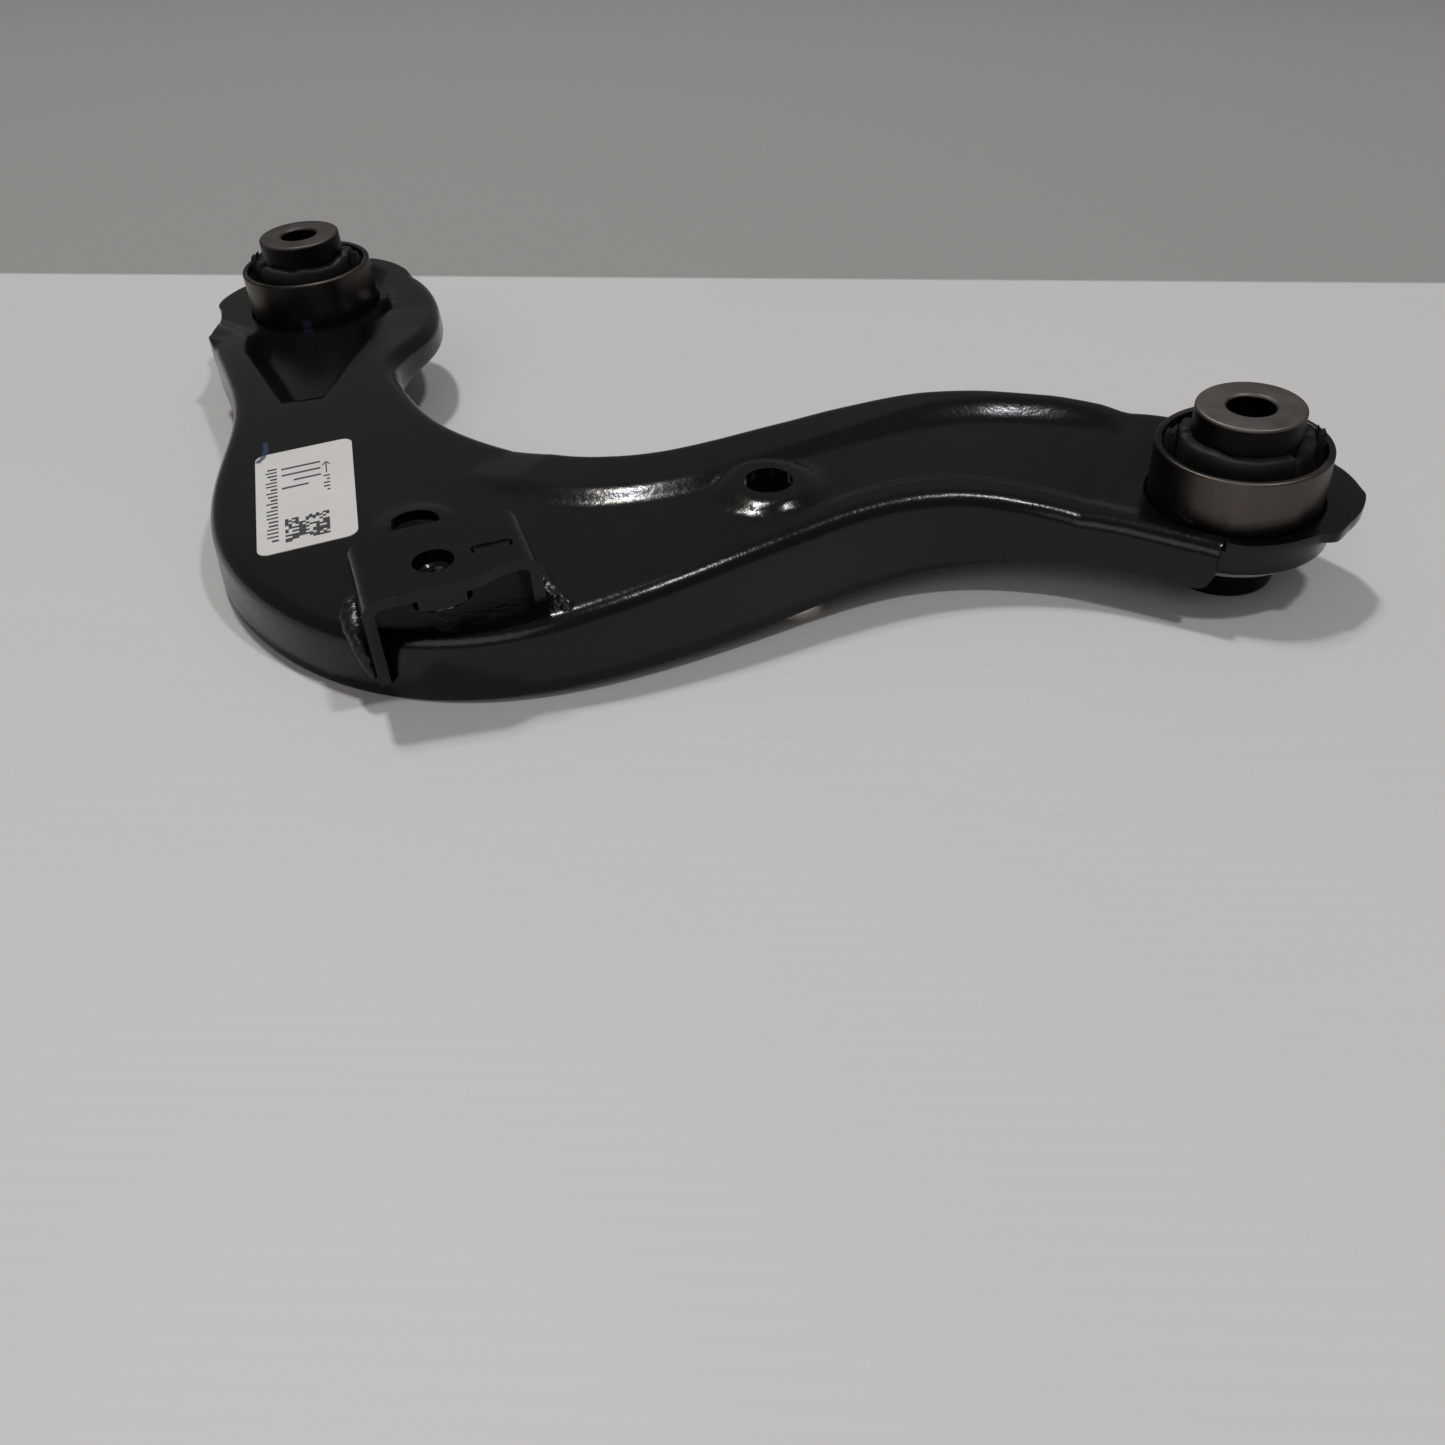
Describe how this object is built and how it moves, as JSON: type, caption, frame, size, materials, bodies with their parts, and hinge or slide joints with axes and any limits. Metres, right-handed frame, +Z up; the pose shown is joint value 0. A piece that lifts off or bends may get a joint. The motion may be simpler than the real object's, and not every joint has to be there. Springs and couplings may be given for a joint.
{
  "type": "control arm",
  "caption": "Pressed-steel suspension control arm, strongly bent, with a rubber bushing at each end and a small welded bracket on the bend.",
  "frame": {"origin": "middle of the underside of the whole object's box, level with the inner sleeves' lower faces", "axes": "+X from the left bushing to the right one, +Z up along both bushing axes, -Y towards the outside of the bend"},
  "size_m": [0.4036, 0.2072, 0.05],
  "materials": {
    "black_paint": "satin black electro-dip paint",
    "shell_steel": "bare, lightly oxidised, darker at the base",
    "sleeve_steel": "bare dark steel, matt",
    "black_rubber": "matt moulded rubber",
    "white_label": null
  },
  "bodies": {
    "arm": {"arm_body": "black_paint", "bracket": "black_paint", "weld_nut": "black_paint", "bracket_weld_left": "black_paint", "bracket_weld_right": "black_paint", "label": "white_label", "left_outer_sleeve": "shell_steel", "left_rubber": "black_rubber", "right_outer_sleeve": "shell_steel", "right_rubber": "black_rubber"},
    "left_sleeve": {"left_inner_sleeve": "sleeve_steel"},
    "right_sleeve": {"right_inner_sleeve": "sleeve_steel"}
  },
  "joints": [
    {"name": "left_bushing_twist", "type": "hinge", "parent": "arm", "child": "left_sleeve", "pos_m": [-0.16381, 0.06677, 0.025], "axis": [0, 0, 1], "range_deg": [-20, 20], "stiffness_Nm_per_rad": 40},
    {"name": "right_bushing_twist", "type": "hinge", "parent": "arm", "child": "right_sleeve", "pos_m": [0.16998, 0.06677, 0.025], "axis": [0, 0, 1], "range_deg": [-20, 20], "stiffness_Nm_per_rad": 40}
  ]
}
